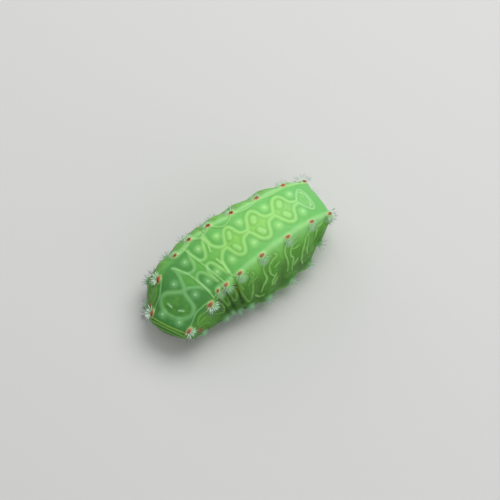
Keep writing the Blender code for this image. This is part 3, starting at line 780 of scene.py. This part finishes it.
# Painted shade in the folds, darkest on the left flank.
painted_fold_shade = f.over(f.number("left"), (76, 128, 44), (40, 66, 14))
crease_pale = f.over(f.rise(along, 0.12, 0.22), pale, (170, 224, 138))
oval_pale = f.over(f.rise(along, 0.15, 0.4), (166, 210, 158), (170, 228, 138))
hanging_pale = f.over(f.rise(along, 0.4, 0.55), (112, 170, 70), (144, 206, 108))
LAYERS = (  # from the lowest up: a number, from where to where its colour fades, its strength
    # The first three layers are painted shade: darker beside the hanging lines, in the hollows under the
    # lobes and in the groove above the sole.
    ("hanging", 1.1, 3.2, 0.40, (62, 116, 34)),
    ("hollow", 0.2, 1.6, 0.40, (58, 96, 26)),
    ("skirt", 0.2, 1.8, 0.35, (56, 100, 34)),
    ("fold", 0.1, 1.9, 0.75, painted_fold_shade),
    ("olive", 0.2, 1.2, 0.60, (104, 138, 26)),
    ("band", 0.1, 1.6, 0.55, (166, 224, 148)),
    ("dot", 0.05, 0.37, 0.60, pale),
    ("line", 0.0, 2.3, f.fade(along, 0.09, 0.16, 0.48, 0.70), pale),
    ("crease", 0.1, 1.9, 0.62, crease_pale),
    ("oval", 0.35, 1.30, 0.64, oval_pale),
    ("dot", 0.02, 0.10, 0.55, (186, 238, 172)),
    ("hanging", 0.1, 1.9, f.fade(f.noise(1500, 1.0), 0.36, 0.56, 0.58, 0.86), hanging_pale),
    ("stripe", 0.2, 1.8, 0.70, (148, 196, 78)),
    ("glow", 0.3, 1.5, 0.52, (178, 226, 180)),
    ("sucker", 0.8, 1.3, 0.50, (196, 208, 150)),
    ("collar", 1.1, 1.8, 0.55, (172, 190, 122)),
    ("red", 1.0, 1.9, 0.62, (218, 190, 138)),
)
coat = ground
for layer in LAYERS:
    coat = f.lay(coat, *layer)
brick = f.ramp(f.noise(7500, 4.0), (0.38, (108, 40, 30)), (0.62, (178, 94, 70)))
# Painted highlight: the red patches on the left side are painted paler.
brick = f.over(f.times(f.number("left"), 0.28), brick, (190, 150, 118))
coat = f.over(f.fade(f.number("red"), 0.7, 1.35), coat, brick)
coat = f.lay(coat, "dull", 0.4, 1.3, 0.85, (158, 84, 72))
grain = f.noise(26000, 2.0)
pores = f.noise(15000, kind="TexVoronoi", output="Distance")
skin_bump = f.bump(pores, 0.000010, 0.35, Normal=f.bump(grain, 0.000008, 0.5))
f.set(Base_Color=coat, Roughness=f.times(grain, 0.18, 0.34), Normal=skin_bump, IOR=1.40,
      Specular_IOR_Level=0.28, Subsurface_Weight=0.28, Subsurface_Radius=(0.5, 1.0, 0.35),
      Subsurface_Scale=0.00025)
skin.data.materials.append(f.material)
print("skin finish with", len(f.tree.nodes), "nodes")

# %% [markdown]
# ## Stinging spines
# Each wart bears a fan of about ten to twenty hollow spines, thin as a hair, glassy white
# with a black tip. One needle is modelled: a cone cut into rings and given a slender
# profile. Each copy gets its own length, tilt and bend. A few dozen faces are enough for a
# shape that comes back hundreds of times.

# %% One needle
NEEDLE_SIDES = 5
NEEDLE_PROFILE = ((0.0, 0.75), (0.12, 1.0), (0.40, 0.86), (0.66, 0.66), (0.80, 0.50), (0.92, 0.30),
                  (1.0, 0.06))

needle = bmesh.new()  # along +Z: its root at z = 0, its tip at z = 1, its thickest radius 1
bmesh.ops.create_cone(needle, cap_ends=True, segments=NEEDLE_SIDES, depth=1, radius1=1, radius2=0.98)
bmesh.ops.translate(needle, vec=(0, 0, 0.5), verts=needle.verts)
for height, _ in NEEDLE_PROFILE[1:-1]:
    bmesh.ops.bisect_plane(needle, geom=needle.verts[:] + needle.edges[:] + needle.faces[:],
                           plane_co=(0, 0, height), plane_no=(0, 0, 1), dist=1e-5)
for vertex in needle.verts:
    girth = float(np.interp(vertex.co.z, *zip(*NEEDLE_PROFILE)))
    vertex.co.xy = vertex.co.xy.normalized() * girth
face_outwards(needle)
needle_mesh = bpy.data.meshes.new("needle")
needle.to_mesh(needle_mesh)
needle.free()
print("one needle has", sum(len(face.vertices) - 2 for face in needle_mesh.polygons), "triangles")

# %% [markdown]
# ## Tufts
# On the ridge the fan opens away from the red patch, outwards and down. On the flank the
# spines are shorter and point all ways. Every needle also gets a small patch of its own on
# a map named OFBake, at its root's place on an unrolled skin, so that a bake keeps its
# colours apart from its neighbours'.

# %% Plant the needles
RIDGE_FANS = (  # needles per wart, their reach in millimetres and how dark the tips are
    (18, 0.62, 1.0), (19, 0.66, 1.0), (9, 0.36, 0.5), (17, 0.44, 0.5), (18, 0.40, 0.35),
    (18, 0.37, 0.3), (18, 0.37, 0.3), (18, 0.40, 0.35), (21, 0.52, 0.7), (12, 0.40, 0.6),
)
FLANK_FAN = (12, 0.40, 0.45)
RIDGE_OPENING, FLANK_OPENING = (1.28, 2.1), (1.15, math.pi)  # widest tilt, and turn to each side
NEEDLE_RADIUS, ROOT_CIRCLE, ROOT_RISE = 0.018, 0.13, 0.02
UNROLL_CIRCLE, UNROLL_PATCH = 0.02, 0.003  # on a map that is 1 wide and 1 high
GOLDEN_TURN = 0.618034
spread = random.Random(11)


def fan_directions(axis, count, widest, turns):
    """Directions in a fan round an axis, in rings that hold more needles further out."""
    down = (Vector((0, 0, -1)) + axis * axis.z).normalized()
    sideways = axis.cross(down)
    for index in range(count):
        tilt = widest * math.sqrt((index + 0.6) / count)
        turned_by = turns * (2 * (index * GOLDEN_TURN % 1.0) - 1) + spread.uniform(-0.12, 0.12)
        tilt += spread.uniform(-0.09, 0.09)
        around = down * math.cos(turned_by) + sideways * math.sin(turned_by)
        yield (axis * math.cos(tilt) + around * math.sin(tilt)).normalized(), around, math.sin(tilt)


def plant(bm, foot, direction, length, radius, bend):
    """Adds one needle to a growing bmesh, bent a little towards the ground."""
    before = len(bm.verts)
    bm.from_mesh(needle_mesh)
    bm.verts.ensure_lookup_table()
    turn = direction.to_track_quat("Z", "Y").to_matrix()
    for vertex in bm.verts[before:]:
        x, y, z = vertex.co
        shaft = turn @ Vector((x * radius, y * radius, z * length))
        vertex.co = (foot + shaft + bend * (z * z * length)) * MM


def spine_piece(name, warts, finish):
    """All the needles of a list of warts as one joined mesh with the OFBake map."""
    bm = bmesh.new()
    centres, inks = [], []
    for (station, q), axis, (count, reach, ink), opening in warts:
        foot = Vector(body_surface(station, q))
        u, v = station / LAST, (q + 4) / 8
        for direction, around, aside in fan_directions(axis, count, *opening):
            root = foot + axis * ROOT_RISE + around * ROOT_CIRCLE * aside
            length = (reach + 0.11) * spread.uniform(0.80, 1.04) - ROOT_CIRCLE * aside
            bend = Vector([spread.uniform(-0.05, 0.05) for _ in range(3)]) - Vector((0, 0, 0.03))
            plant(bm, root, direction, length, NEEDLE_RADIUS * spread.uniform(0.85, 1.12), bend)
            centres.append((u + UNROLL_CIRCLE * aside * around.y, v + UNROLL_CIRCLE * aside * around.x))
            inks.append(ink * spread.uniform(0.7, 1.0))
    made = object_from(bm, name, finish.material)
    points = np.array([vertex.co for vertex in needle_mesh.vertices])
    keep_as(made, "height", np.tile(points[:, 2], len(centres)))
    keep_as(made, "ink", np.repeat(inks, len(points)))
    corners = [loop.vertex_index for loop in needle_mesh.loops]
    girth = (np.arctan2(points[:, 1], points[:, 0]) / (2 * np.pi))[corners]
    patch = np.stack([girth, points[corners, 2] - 0.5], axis=-1) * UNROLL_PATCH
    places = np.array(centres)[:, None, :] + patch[None]
    made.data.uv_layers.new(name="OFBake").data.foreach_set("uv", places.astype(np.float32).ravel())
    print(f"{name}: {len(centres)} needles, {len(made.data.polygons)} faces")
    return made


def wart(station, q, side):
    """Where a wart is, which way its fan points, its needles and how wide the fan opens."""
    seat = station, side * q
    if q > 1:  # low on the flank
        flat = outward(*seat)
        return seat, Vector((flat.x, flat.y, 0.12)).normalized(), FLANK_FAN, FLANK_OPENING
    angle = float(glide(HEADINGS, station))
    out = Vector((math.cos(angle), math.sin(angle), 0)) * side
    axis = (out * 0.75 + outward(station, side * 0.95)).normalized()
    return seat, axis, RIDGE_FANS[station - T2], RIDGE_OPENING


def spine_finish(name, root, middle):
    """Glassy horn that grows pale from its root and is inked at its tip as the piece says."""
    horn = Finish(name)
    height, ink = horn.number("height"), horn.number("ink")
    shaft = horn.ramp(height, (0.0, root), (0.35, middle), (1.0, middle))
    shaft = horn.over(horn.fade(ink, 0.3, 0.8, 0.6), shaft, root)
    streak = horn.noise(30000, 2.0)
    shaft = horn.over(horn.rise(streak, 0.4, 0.7, 0.25), shaft, (120, 170, 130))
    shaft = horn.over(horn.times(horn.rise(height, 0.45, 0.64), ink), shaft, (18, 20, 16))
    horn.set(Base_Color=shaft, Roughness=0.30, Normal=horn.bump(streak, 0.000003, 0.5),
             Subsurface_Weight=0.25, Subsurface_Radius=(0.9, 1.0, 0.9), Subsurface_Scale=0.00004)
    return horn


ridge_spines, flank_spines = (
    spine_piece(name, [wart(*seat, side) for seat in warts for side in BOTH],
                spine_finish(name.replace("_", " "), root, middle))
    for name, warts, root, middle in (
        ("ridge_spines", RIDGE_WARTS, (160, 210, 150), (222, 240, 224)),
        ("flank_spines", FLANK_WARTS, (150, 196, 150), (190, 210, 212))))

# %% [markdown]
# ## The head
# The head is small and hides under the chest, with the mouth down. It is a hard capsule of
# two round lobes that meet in a seam, and an inverted V of finer seams runs from the crown
# to the mouth's corners. A sphere is given its radii, and the seams are pressed into it.

# %% Head capsule
VEE_TOP, VEE_FOOT, VEE_SPREAD = 0.30, -0.55, 0.42
head_centre = Vector(place(HEAD_STATION, 0.0, HEAD_HEIGHT))
head_turn = Matrix.Rotation(head_angle, 3, "Z")


def in_head(left, back, rise):
    """A place in millimetres, from steps to the head's left, back and up."""
    return head_centre + head_turn @ Vector((left, back, rise))


def on_head(direction, grow=0.0):
    """The place in millimetres where a direction in head terms meets the capsule."""
    way = Vector(direction).normalized()
    return in_head(*[step * (radius + grow) for step, radius in zip(way, HEAD_RADII)])


def seam_depth(way):
    """How deep the seams lie at a direction: the midline and the inverted V in front."""
    depth = 0.075 * math.exp(-((way.x / 0.10) ** 2)) * min(1.0, max(0.0, way.z + 0.25) * 2)
    share = (VEE_TOP - way.z) / (VEE_TOP - VEE_FOOT)
    if -0.05 < share < 1 and way.y < 0:
        depth += 0.022 * math.exp(-(((abs(way.x) - VEE_SPREAD * share) / 0.05) ** 2))
    return depth


capsule = bmesh.new()
bmesh.ops.create_uvsphere(capsule, u_segments=112, v_segments=72, radius=1)
for vertex in capsule.verts:
    way = vertex.co.normalized()
    cheek = 0.05 * math.exp(-((abs(way.x) - 0.55) / 0.3) ** 2) * max(0.0, way.z + 0.3)
    vertex.co = (on_head(way) + (on_head(way) - head_centre) * (cheek - seam_depth(way))) * MM
face_outwards(capsule)
head_horn = speckled("head capsule", ((0.30, (104, 78, 40)), (0.5, (148, 118, 66)),
                                      (0.72, (176, 150, 92))), 9000, 4.0,
                     Roughness=0.27, Coat_Weight=0.25, Coat_Roughness=0.2, Subsurface_Weight=0.1,
                     Subsurface_Radius=(1.0, 0.6, 0.3), Subsurface_Scale=0.00006)
dimples = head_horn.noise(24000, kind="TexVoronoi", output="Distance")
head_horn.set(Normal=head_horn.bump(dimples, 0.000006, 0.4))
head = object_from(capsule, "head_capsule", head_horn.material)
print("head", [round(size * 2, 2) for size in HEAD_RADII], "mm")

# %% [markdown]
# ## Eyes, jaws and feelers
# Small parts of an insect are short segments that fit into one another, each a little
# thinner than the last. A sphere whose ends are squared off and that is stretched between
# two points makes one segment, and a row of them makes a feeler, a palp or a leg. The six
# simple eyes of each side stand in an arc, and each is one short, glossy segment.

# %% Segments
def stretch(bm, foot, tip, foot_radius, tip_radius, sides=18, rings=12):
    """Adds one rounded segment between two places in millimetres."""
    made = bmesh.ops.create_uvsphere(bm, u_segments=sides, v_segments=rings, radius=1)
    turn = (tip - foot).to_track_quat("Z", "Y").to_matrix()
    for vertex in made["verts"]:
        x, y, z = vertex.co
        rim = math.hypot(x, y)
        radius = foot_radius + (tip_radius - foot_radius) * (z + 1) / 2
        wide = rim ** -0.5 * radius if rim > 1e-6 else 0.0
        shape = Vector((x * wide, y * wide, (z + 1) / 2 * (tip - foot).length))
        vertex.co = (foot + turn @ shape) * MM


def segmented(name, finish, rows):
    """A piece from rows that each hold a segment's foot, tip and two radii."""
    bm = bmesh.new()
    for row in rows:
        stretch(bm, *row)
    face_outwards(bm)
    return object_from(bm, name, finish.material)


def jointed(foot, tip, radii, overlap=0.12):
    """Rows for a chain of segments from foot to tip, one for each pair of radii."""
    for index, pair in enumerate(radii):
        start = foot.lerp(tip, max(0.0, (index - overlap) / len(radii)))
        yield start, foot.lerp(tip, (index + 1) / len(radii)), *pair


print("segments are spheres with squared-off ends")

# %% Eyes
EYES_PER_SIDE, EYE_ARC = 6, 0.17
eye_rows = []
for side in BOTH:
    for index in range(EYES_PER_SIDE):
        angle = math.radians(-60 + 46 * index)
        seat = (side * 0.86, -0.42 - EYE_ARC * math.cos(angle), -0.12 + EYE_ARC * math.sin(angle))
        centre = on_head(seat, -0.015)
        out = (centre - head_centre).normalized()
        eye_rows.append((centre - out * 0.03, centre + out * 0.04, 0.045, 0.038, 14, 10))
eye_glass = speckled("simple eye", ((0.4, (14, 12, 10)), (0.7, (34, 26, 18))), 20000,
                     Roughness=0.08, Coat_Weight=0.6, Coat_Roughness=0.04)
eyes = segmented("simple_eyes", eye_glass, eye_rows)
print(len(eye_rows), "simple eyes")

# %% Jaws, mouthparts and feelers
PALP_RADII = ((0.085, 0.075), (0.06, 0.05), (0.04, 0.03))
FEELER = (  # each segment's start and end along the feeler, its radii, sides and rings
    (-0.06, 0.14, 0.115, 0.095, 18, 12), (0.11, 0.32, 0.078, 0.062, 18, 12),
    (0.30, 0.40, 0.040, 0.030, 18, 12), (0.38, 0.50, 0.013, 0.006, 8, 6),
)
jaw_rows, mouth_rows, feeler_rows = [], [], []
for side in BOTH:
    knee, tip = in_head(side * 0.19, -0.33, -0.46), in_head(side * 0.06, -0.35, -0.57)
    jaw_rows += [(in_head(side * 0.20, -0.24, -0.30), knee, 0.13, 0.11),
                 (knee - (tip - knee) * 0.3, tip, 0.10, 0.045)]
    mouth_rows += [(in_head(side * 0.07, -0.36, -0.20), in_head(side * 0.09, -0.47, -0.37), 0.115, 0.08),
                   *jointed(in_head(side * 0.24, -0.02, -0.36), in_head(side * 0.27, -0.18, -0.58),
                            PALP_RADII)]
    root = in_head(side * 0.52, -0.22, -0.16)
    way = head_turn @ Vector((side * 0.40, -0.28, -0.75)).normalized()
    feeler_rows += [(root + way * start, root + way * end, *rest) for start, end, *rest in FEELER]
mouth_rows += [(in_head(0, 0.02, -0.38), in_head(0, -0.08, -0.56), 0.14, 0.08),
               (in_head(0, -0.05, -0.52), in_head(0, -0.10, -0.64), 0.035, 0.018)]
jaw_horn = speckled("jaw", ((0.35, (58, 34, 18)), (0.7, (108, 70, 36))), 12000,
                    grain=(30000, 0.000005, 0.4), Roughness=0.22, Coat_Weight=0.3, Coat_Roughness=0.1)
mouth_skin = speckled("mouthparts", ((0.35, (132, 106, 58)), (0.7, (178, 156, 100))), 10000,
                      grain=(26000, 0.000006, 0.5), Roughness=0.35, Subsurface_Weight=0.15,
                      Subsurface_Radius=(1.0, 0.7, 0.4), Subsurface_Scale=0.00008)
jaws = segmented("jaws", jaw_horn, jaw_rows)
mouth = segmented("mouthparts", mouth_skin, mouth_rows)
feelers = segmented("feelers", mouth_skin, feeler_rows)
print("segments:", len(jaw_rows), "jaws,", len(mouth_rows), "mouth,", len(feeler_rows), "feelers")

# %% [markdown]
# ## Legs
# Three pairs of tiny legs sit under the chest. They barely carry the animal, which creeps
# on its sole, so they are short, soft at the root and end in one curved claw each.

# %% Legs and claws
LEG_STATIONS, LEG_SPREADS = (1.86, 2.20, 2.60), (0.56, 0.62, 0.66)
FOOT_HEIGHT, LEG_GAP = 0.06, 0.28
HIP_RISE = Vector((0, 0, 0.36))
CLAW_DROP = Vector((0, 0, 0.02))
leg_rows, claw_rows = [], []
for station, spread_out in zip(LEG_STATIONS, LEG_SPREADS):
    belly = float(glide(BELLY_HEIGHT, station))
    for side in BOTH:
        root = Vector(place(station, side * spread_out, belly - LEG_GAP))
        tip = Vector(place(station - 0.05, side * (spread_out + 0.05), FOOT_HEIGHT))
        down = tip - root
        inward = Vector(place(station, 0.0, FOOT_HEIGHT)) - tip
        leg_rows += [(root + HIP_RISE, root + down * 0.25, 0.21, 0.18),
                     (root + down * 0.05, root + down * 0.62, 0.16, 0.12),
                     (root + down * 0.55, tip - down * 0.02, 0.11, 0.07)]
        claw_rows.append((tip - down * 0.10, tip + inward * 0.05 - CLAW_DROP, 0.045, 0.014, 12, 10))
leg_skin = speckled("leg", ((0.35, (126, 138, 70)), (0.7, (170, 182, 112))), 9000,
                    grain=(26000, 0.000006, 0.5), Roughness=0.34, Subsurface_Weight=0.2,
                    Subsurface_Radius=(0.8, 1.0, 0.4), Subsurface_Scale=0.0001)
legs = segmented("legs", leg_skin, leg_rows)
claws = segmented("claws", jaw_horn, claw_rows)
print("legs", [round(size * 1000, 2) for size in legs.dimensions], "mm over all")

# %% [markdown]
# ## Hand over to the frame
# Every piece rides on the one body. The skin stands for the six lengths of flesh, whose
# coarse spines the needles replace, and the detailed head and legs stand for the plain ones.

# %% Ride, replace and finish
for piece in (skin, ridge_spines, flank_spines, head, eyes, jaws, mouth, feelers, legs, claws):
    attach(piece, "root")
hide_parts("thorax_hood", "thorax_rear", "abdomen_front", "abdomen_middle",
            "abdomen_rear", "tail")
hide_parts("head")
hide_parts("antenna_left", "antenna_right")
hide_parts(*[f"leg_{pair}_{word}" for pair in (1, 2, 3) for word in ("left", "right")])
boxes = {"cad": [list(corner) for corner in cad_box], "visual": [list(corner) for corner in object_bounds()]}
print("visual box", [[round(value * 1000, 2) for value in corner] for corner in boxes["visual"]])
